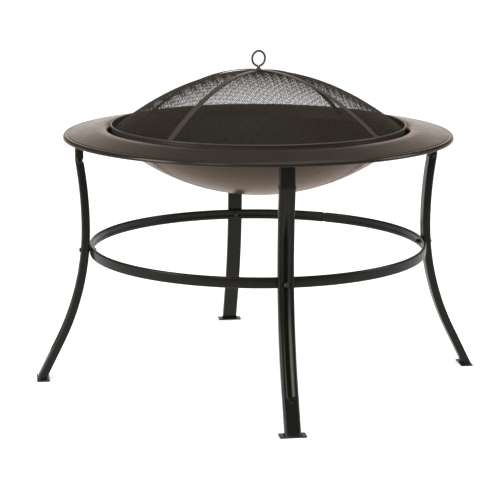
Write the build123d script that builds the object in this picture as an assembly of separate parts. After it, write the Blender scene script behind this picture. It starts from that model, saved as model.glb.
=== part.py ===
from build123d import *
import os
from math import asin, cos, degrees, hypot, radians, sin, sqrt, tan

# Round steel fire pit: a pressed bowl on four bowed tube legs tied by a ring,
# with a lift-off domed spark screen and a log grate inside the bowl.
# Millimetres. Origin on the floor below the bowl's centre, +Z up, legs on the X and Y axes.

os.makedirs("parts", exist_ok=True)

# ---- driving dimensions -------------------------------------------------------------------

# Bowl: a spherical dish, a flat ledge, a riser to the crest, a sloping flange and a rolled edge
BOWL_SHEET = 1.2
DISH_RADIUS = 424.7
LEDGE_HEIGHT = 480.5
LEDGE_INNER_RADIUS = 285.5
LEDGE_WIDTH = 12.0
RISER_HEIGHT = 20.5
RISER_LEAN = 5.0
FLANGE_WIDTH = 78.5
FLANGE_SLOPE_DEG = 10.9
EDGE_ROLL_RADIUS = 4.4
EDGE_ROLL_START_DEG = 155.0
EDGE_ROLL_TURN_DEG = 300.0
EDGE_GROOVE_WIDTH = 4.0
EDGE_GROOVE_DEPTH = 2.6
DISH_BEND = 4.0
LEDGE_BEND = 3.5
CREST_BEND = 7.0

# Legs: rectangular tube with a groove pressed along the outer face and a crimped top bend
LEG_WIDTH = 30.0
LEG_DEPTH = 16.0
LEG_WALL = 1.2
LEG_BACK_CORNER = 3.0
LEG_FRONT_CORNER = 5.0
GROOVE_MOUTH = 4.4
GROOVE_LIP = 1.2
GROOVE_DEPTH = 5.5
GROOVE_ROOT = 2.6
GROOVE_FADE = 12.0
GROOVE_TOP_STOP = 4.0
GROOVE_BELOW_BOW = 5.6
RIM_OVERHANG = 19.5
TOP_STUB_LENGTH = 46.0
TOP_LEAN_DEG = 8.5
TOP_STRAIGHT = 14.0
UPPER_BOW_RADIUS = 808.0
LOWER_BOW_RADIUS = 508.0
FOOT_LEAN_DEG = 26.5
CRIMP_DEPTH = 3.0
CRIMP_HEIGHT = 11.0
CRIMP_EAR = 1.3
CRIMP_EAR_DEPTH = 9.0

# Foot plates welded under the legs
FOOT_WIDTH = 50.0
FOOT_DEPTH = 25.0
FOOT_THICKNESS = 3.0
FOOT_TOE = 1.0

# Ring brace: flat tube rolled to a hoop, closed by a sleeve
RING_HEIGHT = 260.2
RING_TUBE_HEIGHT = 21.4
RING_TUBE_DEPTH = 7.5
RING_WALL = 1.2
RING_CHAMFER = 1.8
RING_GROOVE_HEIGHT = 7.4
RING_GROOVE_DEPTH = 0.7
RING_JOINT_AZIMUTH = 56.0
RING_JOINT_GAP = 0.4
SLEEVE_LENGTH = 44.0
SLEEVE_WALL = 1.0

# Brackets welded under the flange; a tongue on each goes down inside the leg
BRACKET_WIDTH = 56.0
BRACKET_REACH = 30.0
BRACKET_PLATE = 2.5
BRACKET_EDGE_GAP = 2.0
TONGUE_WIDTH = 22.0
TONGUE_THICKNESS = 3.0
TONGUE_LENGTH = 34.0

# Fasteners
SCREW_DIAMETER = 5.0
SCREW_HEAD_DIAMETER = 9.4
SCREW_HEAD_HEIGHT = 3.0
RECESS_WIDTH = 1.3
RECESS_LENGTH = 5.2
RECESS_DEPTH = 1.6
NUT_ACROSS_FLATS = 8.0
NUT_THICKNESS = 4.0
THREAD_PAST_NUT = 2.0
TOP_SCREW_DROP = 18.0

# Spark screen
BAND_SHEET = 1.0
BAND_HEIGHT = 26.7
BAND_INSET = 3.6
BEAD_RADIUS = 2.0
MESH_THICKNESS = 0.5
MESH_APEX_RISE = 129.2
MESH_SKIRT = 9.0
MESH_SEAT = 5.0
MESH_RIM = 7.0
MESH_RIB = 6.0
MESH_OPENINGS_ACROSS = 8
STRAP_WIDTH = 13.0
STRAP_THICKNESS = 1.5
STRAP_AZIMUTH = 45.0
LIFT_WIRE = 4.2
LIFT_RING_RADIUS = 14.65
LIFT_RING_YAW = 23.0
COLLAR_HEIGHT = 6.0
COLLAR_BASE_DIAMETER = 12.0
COLLAR_TOP_DIAMETER = 7.0
COLLAR_LAP = 1.6
LIFT_WASHER_DIAMETER = 15.0
LIFT_WASHER_THICKNESS = 1.2
LIFT_NUT_ACROSS_FLATS = 7.0
LIFT_NUT_THICKNESS = 3.4

# Log grate
GRATE_RING_RADIUS = 190.0
GRATE_HEIGHT = 60.0
GRATE_RING_WIRE = 7.0
GRATE_BAR_WIRE = 6.0
GRATE_BAR_PITCH = 40.0
GRATE_BAR_COUNT = 8
GRATE_BAR_OVERHANG = 5.0
GRATE_FOOT_WIRE = 8.0
GRATE_FOOT_OFFSET = 85.0
GRATE_FOOT_HALF_SPAN = 120.0
GRATE_FOOT_BEND = 14.0

# Clearances
TOUCH = 0.05
HOLE_CLEARANCE = 0.25
LIFT_CLEARANCE = 0.3
END_CLEARANCE = 0.3

LEG_SIDES = {"right": 0, "back": 90, "left": 180, "front": 270}

# ---- places worked out from the driving dimensions -----------------------------------------

ledge_outer_radius = LEDGE_INNER_RADIUS + LEDGE_WIDTH
dish_centre_height = LEDGE_HEIGHT + sqrt(DISH_RADIUS**2 - LEDGE_INNER_RADIUS**2)
dish_bottom = dish_centre_height - DISH_RADIUS
crest_radius = ledge_outer_radius + RISER_LEAN
crest_height = LEDGE_HEIGHT + RISER_HEIGHT
rim_radius = crest_radius + FLANGE_WIDTH
flange_slope = tan(radians(FLANGE_SLOPE_DEG))
roll_centre_radius = rim_radius - EDGE_ROLL_RADIUS
flange_end_radius = roll_centre_radius - EDGE_ROLL_RADIUS - EDGE_GROOVE_WIDTH

leg_outer_radius = rim_radius - RIM_OVERHANG
leg_centre_radius = leg_outer_radius - LEG_DEPTH / 2
leg_inner_radius = leg_outer_radius - LEG_DEPTH


def dish_inside(radius):
    """Height of the dish's inner surface at a radius."""
    return dish_centre_height - sqrt(DISH_RADIUS**2 - radius**2)


def flange_level(radius, depth):
    """Height of the plane that lies a depth below the flange's upper surface."""
    top = crest_height - (radius - crest_radius) * flange_slope
    return top - depth / cos(radians(FLANGE_SLOPE_DEG))


bracket_face_depth = BOWL_SHEET + TOUCH
leg_end_depth = bracket_face_depth + BRACKET_PLATE + END_CLEARANCE
leg_top = flange_level(leg_outer_radius, leg_end_depth)
bend_height = leg_top - TOP_STUB_LENGTH
top_screw_height = leg_top - TOP_SCREW_DROP
tongue_inner_radius = leg_inner_radius + LEG_WALL + TOUCH
tongue_outer_radius = tongue_inner_radius + TONGUE_THICKNESS

lean = radians(TOP_LEAN_DEG)
splay = radians(FOOT_LEAN_DEG)
bow_start_radius = leg_centre_radius - TOP_STRAIGHT * sin(lean)
bow_start_height = bend_height - TOP_STRAIGHT * cos(lean)
waist_radius = bow_start_radius - UPPER_BOW_RADIUS * (1 - cos(lean))
waist_height = bow_start_height - UPPER_BOW_RADIUS * sin(lean)
bow_end_radius = waist_radius + LOWER_BOW_RADIUS * (1 - cos(splay))
bow_end_height = waist_height - LOWER_BOW_RADIUS * sin(splay)


def lower_bow_at(height, outwards):
    """Radius at a height on the lower bow, a distance outwards of the leg's centre line."""
    arc_radius = LOWER_BOW_RADIUS - outwards
    return waist_radius + LOWER_BOW_RADIUS - sqrt(arc_radius**2 - (height - waist_height) ** 2)


def foot_straight_at(height):
    """Point of the leg's centre line on the straight above the foot."""
    return (bow_end_radius + (bow_end_height - height) * tan(splay), height)


ring_top = RING_HEIGHT + RING_TUBE_HEIGHT / 2
ring_outer_radius = lower_bow_at(ring_top, -LEG_DEPTH / 2) - TOUCH
ring_inner_radius = ring_outer_radius - RING_TUBE_DEPTH
screw_low_side = RING_HEIGHT - SCREW_HEAD_DIAMETER / 2
screw_seat_radius = lower_bow_at(screw_low_side, LEG_DEPTH / 2) + TOUCH

band_outer_radius = LEDGE_INNER_RADIUS + BAND_INSET
band_inner_radius = band_outer_radius - BAND_SHEET
band_bottom = LEDGE_HEIGHT + LIFT_CLEARANCE
band_top = band_bottom + BAND_HEIGHT
strap_reach = sqrt((band_inner_radius - TOUCH) ** 2 - (STRAP_WIDTH / 2) ** 2)
mesh_radius = strap_reach - STRAP_THICKNESS - TOUCH
mesh_apex = band_bottom + MESH_APEX_RISE
mesh_bottom = band_bottom + MESH_SEAT
mesh_edge = mesh_bottom + MESH_SKIRT
dome_rise = mesh_apex - mesh_edge
mesh_open_radius = mesh_radius - MESH_RIM


def dome_drop(radius):
    """How far the dome has fallen below its top at a radius."""
    return dome_rise * (radius / mesh_radius) ** 2


lower_strap_bottom = mesh_apex + TOUCH
upper_strap_bottom = lower_strap_bottom + STRAP_THICKNESS + dome_drop(STRAP_WIDTH / 2) + TOUCH
collar_bottom = upper_strap_bottom + STRAP_THICKNESS + TOUCH
collar_top = collar_bottom + COLLAR_HEIGHT
lift_ring_centre = collar_top - COLLAR_LAP + LIFT_RING_RADIUS + LIFT_WIRE / 2
lift_washer_top = mesh_apex - MESH_THICKNESS - dome_drop(LIFT_WASHER_DIAMETER / 2) - TOUCH
lift_nut_top = lift_washer_top - LIFT_WASHER_THICKNESS - TOUCH
lift_stud_bottom = lift_nut_top - LIFT_NUT_THICKNESS - THREAD_PAST_NUT

grate_ring_height = dish_bottom + GRATE_HEIGHT
grate_bar_height = grate_ring_height + (GRATE_RING_WIRE + GRATE_BAR_WIRE) / 2 + TOUCH
grate_foot_top = grate_bar_height - (GRATE_BAR_WIRE + GRATE_FOOT_WIRE) / 2 - TOUCH
grate_foot_radius = sqrt(GRATE_FOOT_OFFSET**2 + GRATE_FOOT_HALF_SPAN**2) + GRATE_FOOT_WIRE / 2
grate_foot_bottom = dish_inside(grate_foot_radius) + LIFT_CLEARANCE


# ---- helpers ------------------------------------------------------------------------------


def turned(face, start=0.0, sweep=360.0):
    """Revolve an (X = radius, Y = height) face about the Z axis."""
    return Rot(0, 0, start) * revolve(Plane.XZ * face, Axis.Z, sweep)


def polygon(*points):
    return make_face(Polyline(*points, close=True))


def radial_rod(diameter, inner_radius, outer_radius, height):
    """A cylinder that lies along +X between two radii."""
    rod = Cylinder(diameter / 2, outer_radius - inner_radius)
    return Pos((inner_radius + outer_radius) / 2, 0, height) * Rot(0, 90, 0) * rod


def four_times(shape):
    """The same solid at each leg, as a group of separate solids."""
    return Compound(children=[Rot(0, 0, azimuth) * shape for azimuth in LEG_SIDES.values()])


def screw(shank):
    """Cross-recessed pan-head screw along +Z, with the underside of its head at the origin."""
    radius = SCREW_HEAD_DIAMETER / 2
    dome = make_face(
        Polyline((0, SCREW_HEAD_HEIGHT), (0, 0), (radius, 0), (radius, SCREW_HEAD_HEIGHT / 3))
        + ThreePointArc(
            (radius, SCREW_HEAD_HEIGHT / 3),
            (radius * 0.68, SCREW_HEAD_HEIGHT * 0.84),
            (0, SCREW_HEAD_HEIGHT),
        )
    )
    body = turned(dome) + Pos(0, 0, -shank / 2) * Cylinder(SCREW_DIAMETER / 2, shank)
    slot = Pos(0, 0, SCREW_HEAD_HEIGHT) * Box(RECESS_LENGTH, RECESS_WIDTH, 2 * RECESS_DEPTH)
    return body - slot - Rot(0, 0, 90) * slot


def hex_nut(across_flats, thickness, thread):
    """Nut from the XY plane upwards."""
    bore = (thread + HOLE_CLEARANCE) / 2
    blank = RegularPolygon(across_flats / 2, 6, major_radius=False) - Circle(bore)
    return extrude(blank, thickness)


# ---- bowl ---------------------------------------------------------------------------------


def fire_bowl():
    """The pressed bowl: one sheet, followed along its upper surface and thickened downwards."""
    dish_angle = degrees(asin(LEDGE_INNER_RADIUS / DISH_RADIUS))
    flange_end = (flange_end_radius, flange_level(flange_end_radius, 0))
    groove = (flange_end_radius + EDGE_GROOVE_WIDTH * 0.8, flange_end[1] - EDGE_GROOVE_DEPTH)
    roll_centre = (roll_centre_radius, flange_end[1] - EDGE_ROLL_RADIUS)
    dish = CenterArc((0, dish_centre_height), DISH_RADIUS, -90, dish_angle)
    roll = CenterArc(roll_centre, EDGE_ROLL_RADIUS, EDGE_ROLL_START_DEG, -EDGE_ROLL_TURN_DEG)
    corners = {
        (LEDGE_INNER_RADIUS, LEDGE_HEIGHT): DISH_BEND,
        (ledge_outer_radius, LEDGE_HEIGHT): LEDGE_BEND,
        (crest_radius, crest_height): CREST_BEND,
    }
    straights = Polyline(*corners, flange_end, groove, roll @ 0)
    sheet = Wire([*dish.edges(), *straights.edges(), *roll.edges()])
    for place, radius in corners.items():
        vertex = sheet.vertices().sort_by_distance((*place, 0))[0]
        sheet = sheet.fillet_2d(radius, [vertex])
    return turned(make_face(sheet.offset_2d(BOWL_SHEET, Kind.ARC, Side.RIGHT)))


def rim_bracket():
    """Plate under the flange, pressed to its slope, with the tongue that enters the leg."""
    outer = flange_end_radius - BRACKET_EDGE_GAP
    inner = outer - BRACKET_REACH
    upper = bracket_face_depth
    lower = upper + BRACKET_PLATE
    plate = polygon(
        (inner, flange_level(inner, upper)),
        (outer, flange_level(outer, upper)),
        (outer, flange_level(outer, lower)),
        (inner, flange_level(inner, lower)),
    )
    half_angle = degrees(BRACKET_WIDTH / 2 / leg_centre_radius)
    middle = (tongue_inner_radius + tongue_outer_radius) / 2
    top = flange_level(middle, (upper + lower) / 2)
    bottom = leg_top - TONGUE_LENGTH
    tongue = Pos(middle, 0, (top + bottom) / 2) * Box(TONGUE_THICKNESS, TONGUE_WIDTH, top - bottom)
    through = (tongue_inner_radius - TONGUE_THICKNESS, tongue_outer_radius + TONGUE_THICKNESS)
    hole = radial_rod(SCREW_DIAMETER + HOLE_CLEARANCE, *through, top_screw_height)
    return turned(plate, -half_angle, 2 * half_angle) + tongue - hole


# ---- legs and feet ------------------------------------------------------------------------


def leg_path(start, end, *above):
    """The leg's centre line: two bows between a straight from start and a straight to end."""
    first = Polyline(*above, start, (bow_start_radius, bow_start_height))
    upper_centre = (waist_radius + UPPER_BOW_RADIUS, waist_height)
    lower_centre = (waist_radius + LOWER_BOW_RADIUS, waist_height)
    upper_bow = CenterArc(upper_centre, UPPER_BOW_RADIUS, 180 - TOP_LEAN_DEG, TOP_LEAN_DEG)
    lower_bow = CenterArc(lower_centre, LOWER_BOW_RADIUS, 180, FOOT_LEAN_DEG)
    last = Line((bow_end_radius, bow_end_height), end)
    edges = [*first.edges(), upper_bow.edge(), lower_bow.edge(), last.edge()]
    return Wire([Plane.XZ * edge for edge in edges])


def swept_down(section, path):
    """Sweep a section whose X points outwards and whose Y lies across the leg."""
    start = Plane(path @ 0, x_dir=Vector(0, -1, 0).cross(path % 0), z_dir=path % 0)
    return sweep(start * section, path, transition=Transition.RIGHT)


def tube_section(inset):
    """Rounded cross-section of the leg tube, moved inwards by an inset."""
    blank = Rectangle(LEG_DEPTH - 2 * inset, LEG_WIDTH - 2 * inset)
    outward_corners = blank.vertices().group_by(Axis.X)[-1]
    blank = fillet(outward_corners, LEG_FRONT_CORNER - inset)
    inward_corners = blank.vertices().group_by(Axis.X)[0]
    return fillet(inward_corners, LEG_BACK_CORNER - inset)


def groove_section(growth):
    """Cross-section of the pressed groove, with its walls moved outwards by a growth."""
    face = LEG_DEPTH / 2
    lip = GROOVE_MOUTH / 2 + GROOVE_LIP + growth
    throat = GROOVE_MOUTH / 2 + growth
    root = GROOVE_ROOT / 2 + growth
    bottom = face - GROOVE_DEPTH - growth
    above = face + GROOVE_LIP
    half = [(above, lip), (face, lip), (face - GROOVE_LIP, throat), (bottom, root)]
    return polygon(*half, *[(x, -y) for x, y in reversed(half)])


def slanted_end(face_point, outwards, along, growth):
    """Wedge that slopes an end of the groove up to the leg's face; along points into it."""
    slope = along * GROOVE_FADE - outwards * GROOVE_DEPTH
    corner = face_point - along * growth * slope.length / GROOVE_DEPTH
    back = along * -3 * GROOVE_FADE
    outer, inner = corner - slope, corner + slope * 2
    side = polygon(outer, inner, inner + back, outer + back)
    return extrude(Plane.XZ * side, LEG_WIDTH / 2, both=True)


def groove(growth):
    """Groove down the outer face."""
    top_along = Vector(-sin(lean), -cos(lean))
    top_outwards = Vector(cos(lean), -sin(lean))
    foot_along = Vector(-sin(splay), cos(splay))
    foot_outwards = Vector(cos(splay), sin(splay))
    bend = Vector(leg_centre_radius, bend_height)
    stop = Vector(*foot_straight_at(bow_end_height - GROOVE_BELOW_BOW))
    top_face = bend + top_along * GROOVE_TOP_STOP + top_outwards * LEG_DEPTH / 2
    foot_face = stop + foot_outwards * LEG_DEPTH / 2
    channel = swept_down(groove_section(growth), leg_path(bend, stop - foot_along * GROOVE_FADE))
    channel -= slanted_end(top_face, top_outwards, top_along, growth)
    return channel - slanted_end(foot_face, foot_outwards, foot_along, growth)


def crimp(growth):
    """Dent across the inner face where the tube was bent."""
    half_height = CRIMP_HEIGHT / 2 + growth
    deepest = leg_inner_radius + CRIMP_DEPTH + growth
    side = polygon(
        (leg_inner_radius - LEG_WALL, bend_height - half_height),
        (leg_inner_radius + growth, bend_height - half_height),
        (deepest, bend_height),
        (leg_inner_radius + growth, bend_height + half_height),
        (leg_inner_radius - LEG_WALL, bend_height + half_height),
    )
    return extrude(Plane.XZ * side, LEG_WIDTH, both=True)


def crimp_ears():
    """The side walls pushed out beside the dent."""
    flat = LEG_WIDTH / 2 - TOUCH
    tip = LEG_WIDTH / 2 + CRIMP_EAR
    rise = CRIMP_HEIGHT / 2
    side = polygon((tip, 0), (flat, rise), (-flat, rise), (-tip, 0), (-flat, -rise), (flat, -rise))
    return Pos(leg_inner_radius + LEG_BACK_CORNER, 0, bend_height) * extrude(Plane.YZ * side, CRIMP_EAR_DEPTH)


def leg():
    end = foot_straight_at(-LEG_DEPTH)
    bend = (leg_centre_radius, bend_height)
    top = (leg_centre_radius, leg_top + LEG_DEPTH)
    path = leg_path(bend, end, top)
    outside = swept_down(tube_section(0), path) + crimp_ears() - crimp(0) - groove(0)
    inside = swept_down(tube_section(LEG_WALL), path) - crimp(LEG_WALL) - groove(LEG_WALL)
    tube = outside - inside
    floor_depth = 2 * LEG_DEPTH
    ground = Box(4 * end[0], 2 * LEG_WIDTH, floor_depth + FOOT_THICKNESS)
    tube -= Pos(0, 0, (FOOT_THICKNESS - floor_depth) / 2) * ground
    inner, outer = leg_inner_radius - LEG_DEPTH, leg_outer_radius + LEG_DEPTH
    above = polygon(
        (inner, flange_level(inner, leg_end_depth)),
        (outer, flange_level(outer, leg_end_depth)),
        (outer, leg_top + 3 * LEG_DEPTH),
        (inner, leg_top + 3 * LEG_DEPTH),
    )
    tube -= extrude(Plane.XZ * above, LEG_WIDTH, both=True)
    hole = SCREW_DIAMETER + HOLE_CLEARANCE
    tube -= radial_rod(hole, inner, tongue_inner_radius, top_screw_height)
    return tube - radial_rod(hole, ring_outer_radius, screw_seat_radius, RING_HEIGHT)


def foot_plate():
    outer = foot_straight_at(FOOT_THICKNESS)[0] + LEG_DEPTH / 2 / cos(splay) + FOOT_TOE
    plate = Box(FOOT_DEPTH, FOOT_WIDTH, FOOT_THICKNESS)
    return Pos(outer - FOOT_DEPTH / 2, 0, FOOT_THICKNESS / 2) * plate


# ---- ring brace ---------------------------------------------------------------------------


def ring_section(inset):
    """Flat section of the hoop, its corners cut off, with a shallow groove along its inside."""
    middle = (ring_inner_radius + ring_outer_radius) / 2
    height = RING_TUBE_HEIGHT - 2 * inset
    depth = RING_TUBE_DEPTH - 2 * inset
    blank = Pos(middle, RING_HEIGHT) * Rectangle(depth, height)
    blank = chamfer(blank.vertices(), RING_CHAMFER - inset * (2 - sqrt(2)))
    lip = RING_GROOVE_HEIGHT / 2 + inset
    bottom = ring_inner_radius + RING_GROOVE_DEPTH + inset
    mouth = ring_inner_radius - RING_GROOVE_DEPTH
    return blank - polygon(
        (mouth, RING_HEIGHT - lip - RING_GROOVE_DEPTH),
        (mouth, RING_HEIGHT + lip + RING_GROOVE_DEPTH),
        (bottom, RING_HEIGHT + lip - RING_GROOVE_DEPTH),
        (bottom, RING_HEIGHT - lip + RING_GROOVE_DEPTH),
    )


def ring_brace():
    gap = degrees(RING_JOINT_GAP / ring_outer_radius)
    hoop = turned(ring_section(0) - ring_section(RING_WALL), RING_JOINT_AZIMUTH + gap / 2, 360 - gap)
    through = (ring_inner_radius - RING_WALL, ring_outer_radius + RING_WALL)
    hole = radial_rod(SCREW_DIAMETER + HOLE_CLEARANCE, *through, RING_HEIGHT)
    for azimuth in LEG_SIDES.values():
        hoop -= Rot(0, 0, azimuth) * hole
    return hoop


def ring_sleeve():
    """Short inner tube that joins the two ends of the hoop."""
    outside = RING_WALL + TOUCH
    turn = degrees(SLEEVE_LENGTH / ring_inner_radius)
    section = ring_section(outside) - ring_section(outside + SLEEVE_WALL)
    return turned(section, RING_JOINT_AZIMUTH - turn / 2, turn)


def ring_screw():
    nut_end = ring_inner_radius - TOUCH - NUT_THICKNESS
    shank = screw_seat_radius - nut_end + THREAD_PAST_NUT
    return Pos(screw_seat_radius, 0, RING_HEIGHT) * Rot(0, 90, 0) * screw(shank)


def ring_nut():
    nut = hex_nut(NUT_ACROSS_FLATS, NUT_THICKNESS, SCREW_DIAMETER)
    return Pos(ring_inner_radius - TOUCH, 0, RING_HEIGHT) * Rot(0, -90, 0) * nut


def rim_screw():
    shank = tongue_outer_radius + NUT_THICKNESS + THREAD_PAST_NUT - leg_inner_radius
    return Pos(leg_inner_radius - TOUCH, 0, top_screw_height) * Rot(0, -90, 0) * screw(shank)


def rim_nut():
    nut = hex_nut(NUT_ACROSS_FLATS, NUT_THICKNESS, SCREW_DIAMETER)
    return Pos(tongue_outer_radius + TOUCH, 0, top_screw_height) * Rot(0, 90, 0) * nut


# ---- spark screen -------------------------------------------------------------------------


def screen_band():
    """Upright band with a bead rolled outwards along its top."""
    bead_centre = (band_inner_radius + BEAD_RADIUS, band_top - BEAD_RADIUS)
    sheet = make_face(
        Polyline(
            (band_inner_radius, bead_centre[1]),
            (band_inner_radius, band_bottom),
            (band_outer_radius, band_bottom),
            (band_outer_radius, bead_centre[1]),
            close=True,
        )
    )
    bead = Pos(*bead_centre) * (Circle(BEAD_RADIUS) - Circle(BEAD_RADIUS - BAND_SHEET))
    return turned(sheet + bead)


def mesh_openings():
    """Square grid of openings that stands for the weave, in line with the straps."""
    pitch = 2 * mesh_open_radius / MESH_OPENINGS_ACROSS
    places = [(i + 0.5 - MESH_OPENINGS_ACROSS / 2) * pitch for i in range(MESH_OPENINGS_ACROSS)]
    centres = [(x, y) for x in places for y in places if hypot(x, y) < mesh_open_radius - pitch / 3]
    squares = Sketch() + [Pos(x, y) * Rectangle(pitch - MESH_RIB, pitch - MESH_RIB) for x, y in centres]
    grid = Rot(0, 0, STRAP_AZIMUTH) * (squares & Circle(mesh_open_radius))
    return Pos(0, 0, mesh_edge) * extrude(grid, dome_rise + MESH_THICKNESS)


def screen_mesh():
    """The domed mesh as a thin pierced shell, with a short skirt that stands inside the band."""
    inside = mesh_radius - MESH_THICKNESS
    slope = 2 * dome_rise / mesh_radius
    edge_inside = mesh_edge + MESH_THICKNESS * (slope - sqrt(1 + slope**2))
    apex_inside = mesh_apex - MESH_THICKNESS
    skirt = [(mesh_radius, mesh_edge), (mesh_radius, mesh_bottom), (inside, mesh_bottom)]
    outline = [
        Bezier((0, mesh_apex), (mesh_radius / 2, mesh_apex), (mesh_radius, mesh_edge)),
        Polyline(*skirt, (inside, edge_inside)),
        Bezier((inside, edge_inside), (inside / 2, apex_inside), (0, apex_inside)),
        Line((0, apex_inside), (0, mesh_apex)),
    ]
    dome = turned(make_face([edge for part in outline for edge in part.edges()])) - mesh_openings()
    return dome - Pos(0, 0, mesh_apex) * Cylinder((LIFT_WIRE + HOLE_CLEARANCE) / 2, dome_rise / 4)


def screen_strap(bottom, azimuth):
    """Flat strap over the dome, with both ends turned down inside the band."""
    inner = mesh_radius + TOUCH
    outer = inner + STRAP_THICKNESS
    top = bottom + STRAP_THICKNESS
    slope = 2 * dome_rise / mesh_radius
    outer_edge = mesh_edge + STRAP_THICKNESS * (sqrt(1 + slope**2) - slope) + TOUCH
    inner_edge = mesh_edge + TOUCH
    tail = [(outer, outer_edge), (outer, mesh_bottom), (inner, mesh_bottom), (inner, inner_edge)]
    outline = [
        Bezier((-outer, outer_edge), (0, 2 * top - outer_edge), (outer, outer_edge)),
        Polyline(*tail),
        Bezier((inner, inner_edge), (0, 2 * bottom - inner_edge), (-inner, inner_edge)),
        Polyline(*[(-r, z) for r, z in reversed(tail)]),
    ]
    side = make_face([edge for part in outline for edge in part.edges()])
    strap = extrude(Plane.XZ * side, STRAP_WIDTH / 2, both=True)
    strap -= Pos(0, 0, bottom) * Cylinder((LIFT_WIRE + HOLE_CLEARANCE) / 2, dome_rise / 4)
    return Rot(0, 0, azimuth) * strap


def lift_ring():
    """Eye bolt: a ring of wire on a flared neck, with its threaded end below."""
    upright = Rot(0, 0, LIFT_RING_YAW) * Rot(90, 0, 0)
    eye = Pos(0, 0, lift_ring_centre) * upright * Torus(LIFT_RING_RADIUS, LIFT_WIRE / 2)
    neck = Pos(0, 0, (collar_bottom + collar_top) / 2) * Cone(
        COLLAR_BASE_DIAMETER / 2, COLLAR_TOP_DIAMETER / 2, COLLAR_HEIGHT
    )
    length = collar_bottom - lift_stud_bottom
    stud = Pos(0, 0, lift_stud_bottom + length / 2) * Cylinder(LIFT_WIRE / 2, length)
    return eye + neck + stud


def lift_washer():
    hole = (LIFT_WIRE + HOLE_CLEARANCE) / 2
    ring = Circle(LIFT_WASHER_DIAMETER / 2) - Circle(hole)
    return Pos(0, 0, lift_washer_top - LIFT_WASHER_THICKNESS) * extrude(ring, LIFT_WASHER_THICKNESS)


def lift_nut():
    nut = hex_nut(LIFT_NUT_ACROSS_FLATS, LIFT_NUT_THICKNESS, LIFT_WIRE)
    return Pos(0, 0, lift_nut_top - LIFT_NUT_THICKNESS) * nut


# ---- log grate ----------------------------------------------------------------------------


def grate_ring():
    return Pos(0, 0, grate_ring_height) * Torus(GRATE_RING_RADIUS, GRATE_RING_WIRE / 2)


def grate_bar(number):
    """Straight rod across the ring; rods run along X and are numbered from the front."""
    offset = (number - (GRATE_BAR_COUNT + 1) / 2) * GRATE_BAR_PITCH
    half_length = sqrt(GRATE_RING_RADIUS**2 - offset**2) + GRATE_BAR_OVERHANG
    rod = Cylinder(GRATE_BAR_WIRE / 2, 2 * half_length)
    return Pos(0, offset, grate_bar_height) * Rot(0, 90, 0) * rod


def grate_foot(side):
    """Wire bent to a bridge under the rods; its two ends stand on the dish."""
    x = side * GRATE_FOOT_OFFSET
    y = GRATE_FOOT_HALF_SPAN
    route = FilletPolyline(
        (x, -y, grate_foot_bottom),
        (x, -y, grate_foot_top),
        (x, y, grate_foot_top),
        (x, y, grate_foot_bottom),
        radius=GRATE_FOOT_BEND,
    )
    return sweep(Plane(route @ 0, z_dir=route % 0) * Circle(GRATE_FOOT_WIRE / 2), route)


# ---- all sub-parts ------------------------------------------------------------------------


def all_parts():
    parts = {
        "fire_bowl": fire_bowl(),
        "rim_screws": four_times(rim_screw()),
        "rim_nuts": four_times(rim_nut()),
        "ring_brace": ring_brace(),
        "ring_sleeve": ring_sleeve(),
        "ring_screws": four_times(ring_screw()),
        "ring_nuts": four_times(ring_nut()),
        "screen_band": screen_band(),
        "screen_mesh": screen_mesh(),
        "screen_strap_lower": screen_strap(lower_strap_bottom, STRAP_AZIMUTH),
        "screen_strap_upper": screen_strap(upper_strap_bottom, STRAP_AZIMUTH + 90),
        "lift_ring": lift_ring(),
        "lift_washer": lift_washer(),
        "lift_nut": lift_nut(),
        "grate_ring": grate_ring(),
        "grate_foot_left": grate_foot(-1),
        "grate_foot_right": grate_foot(1),
    }
    one_leg = leg()
    one_foot = foot_plate()
    one_bracket = rim_bracket()
    for side, azimuth in LEG_SIDES.items():
        parts[f"leg_{side}"] = Rot(0, 0, azimuth) * one_leg
        parts[f"foot_plate_{side}"] = Rot(0, 0, azimuth) * one_foot
        parts[f"rim_bracket_{side}"] = Rot(0, 0, azimuth) * one_bracket
    for number in range(1, GRATE_BAR_COUNT + 1):
        parts[f"grate_bar_{number}"] = grate_bar(number)
    return parts


for node, shape in all_parts().items():
    export_step(shape, f"parts/{node}.step")
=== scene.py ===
import math
import random

import bmesh
import bpy
from mathutils import Matrix, Quaternion, Vector


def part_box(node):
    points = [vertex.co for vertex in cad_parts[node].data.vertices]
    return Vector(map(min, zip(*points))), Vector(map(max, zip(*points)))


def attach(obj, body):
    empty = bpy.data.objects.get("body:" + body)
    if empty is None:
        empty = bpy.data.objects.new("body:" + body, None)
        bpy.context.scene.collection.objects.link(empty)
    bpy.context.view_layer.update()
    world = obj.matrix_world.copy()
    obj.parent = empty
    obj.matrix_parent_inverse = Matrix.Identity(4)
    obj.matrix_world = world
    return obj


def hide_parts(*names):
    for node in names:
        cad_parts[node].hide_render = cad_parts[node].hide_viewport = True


# Looks of a round steel fire pit: a bowl on four bowed legs with a ring brace, a domed mesh
# screen and a log grate. Metres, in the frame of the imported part: floor at z = 0, the bowl's
# axis on Z, the front leg on -Y.

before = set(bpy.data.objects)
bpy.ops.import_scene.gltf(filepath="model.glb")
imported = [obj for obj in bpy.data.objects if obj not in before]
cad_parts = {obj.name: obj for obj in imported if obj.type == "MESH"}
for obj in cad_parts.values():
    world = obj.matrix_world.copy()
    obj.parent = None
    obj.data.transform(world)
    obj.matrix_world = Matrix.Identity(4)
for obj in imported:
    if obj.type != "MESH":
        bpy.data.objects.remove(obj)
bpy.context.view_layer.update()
random.seed(7)

# ---- camera ---------------------------------------------------------------------------------

CAMERA_AIM = Vector((0.0, 0.0, 0.300))
CAMERA_DISTANCE = 3.550
CAMERA_ELEVATION = math.radians(11.28)
CAMERA_AZIMUTH = math.radians(-98.50)
CAMERA_ROLL = math.radians(0.24)
CAMERA_LENS = 128.05
CAMERA_SENSOR = 36.0
CAMERA_SHIFT = (-0.01586, -0.04864)

# ---- sizes that the frame gives -------------------------------------------------------------

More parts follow.
